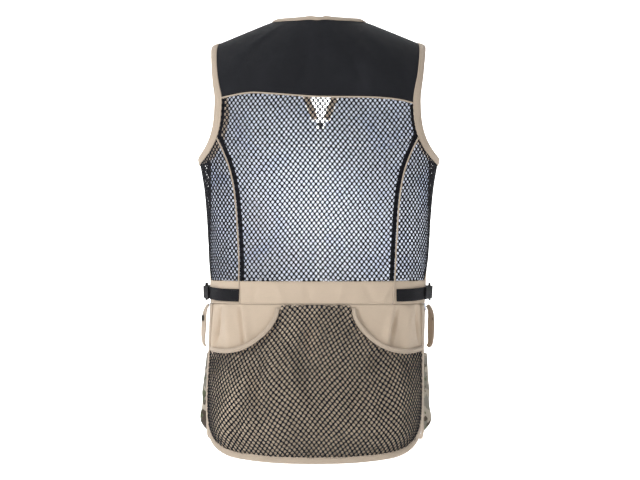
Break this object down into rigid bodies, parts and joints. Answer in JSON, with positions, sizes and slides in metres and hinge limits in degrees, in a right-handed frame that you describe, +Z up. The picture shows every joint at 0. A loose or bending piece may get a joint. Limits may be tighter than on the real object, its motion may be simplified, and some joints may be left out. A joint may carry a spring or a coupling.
{
  "type": "shooting vest",
  "caption": "Sleeveless shooting vest with mesh back, game pouch, bellows pockets, side straps and front zip, hollow as when worn.",
  "frame": {"origin": "midway between the two shoulder points, 18 mm under the neck's shoulder ends, where the wearer's shoulders hold the vest up", "axes": "+Z up, -Y the way the wearer faces, +X to the wearer's left"},
  "size_m": [0.3978, 0.2751, 0.7144],
  "materials": {
    "black_cloth": "tight plain weave, matt",
    "black_net": "knitted mesh with open diamond holes, matt",
    "beige_cloth": "fine twill, matt",
    "beige_binding": "folded tape with one row of stitching, matt",
    "blotched_cloth": "printed with plain blotches in sand, grey and brown, matt",
    "black_webbing": "ribbed webbing, slight sheen",
    "black_plastic": "moulded, satin",
    "black_zip": "woven tape and moulded teeth",
    "dark_metal": "dark plated, satin"
  },
  "bodies": {
    "vest": {"back_yoke": "black_cloth", "back_net_center": "black_net", "back_net_side_l": "black_net", "back_net_side_r": "black_net", "pouch_net": "black_net", "yoke_piping": "beige_binding", "princess_piping_l": "beige_binding", "princess_piping_r": "beige_binding", "waistband_center": "beige_cloth", "waistband_side_l": "beige_cloth", "waistband_side_r": "beige_cloth", "back_base": "beige_cloth", "mouth_binding_l": "beige_binding", "mouth_binding_r": "beige_binding", "tail_binding": "beige_binding", "front_yoke_l": "black_cloth", "front_yoke_r": "black_cloth", "front_body_l": "beige_cloth", "front_body_r": "beige_cloth", "front_binding_l": "beige_binding", "front_binding_r": "beige_binding", "pocket_l": "blotched_cloth", "pocket_r": "blotched_cloth", "armhole_binding_l": "beige_binding", "armhole_binding_r": "beige_binding", "neck_binding": "beige_binding", "strap_l": "black_webbing", "strap_r": "black_webbing", "strap_anchor_l": "black_webbing", "strap_anchor_r": "black_webbing", "buckle_l": "black_plastic", "buckle_r": "black_plastic", "hang_loop_l": "beige_binding", "hang_loop_r": "beige_binding", "snap_l": "black_plastic", "snap_r": "black_plastic", "zip_tape_l": "black_zip", "zip_tape_r": "black_zip", "zip_chain": "black_zip", "zip_slider": "dark_metal"},
    "pull": {"pull_tab": "dark_metal"}
  },
  "joints": [
    {"name": "pull_tab_hinge", "type": "hinge", "parent": "vest", "child": "pull", "pos_m": [0, -0.13505, -0.1427], "axis": [-1, 0, 0], "range_deg": [0, 165]}
  ]
}
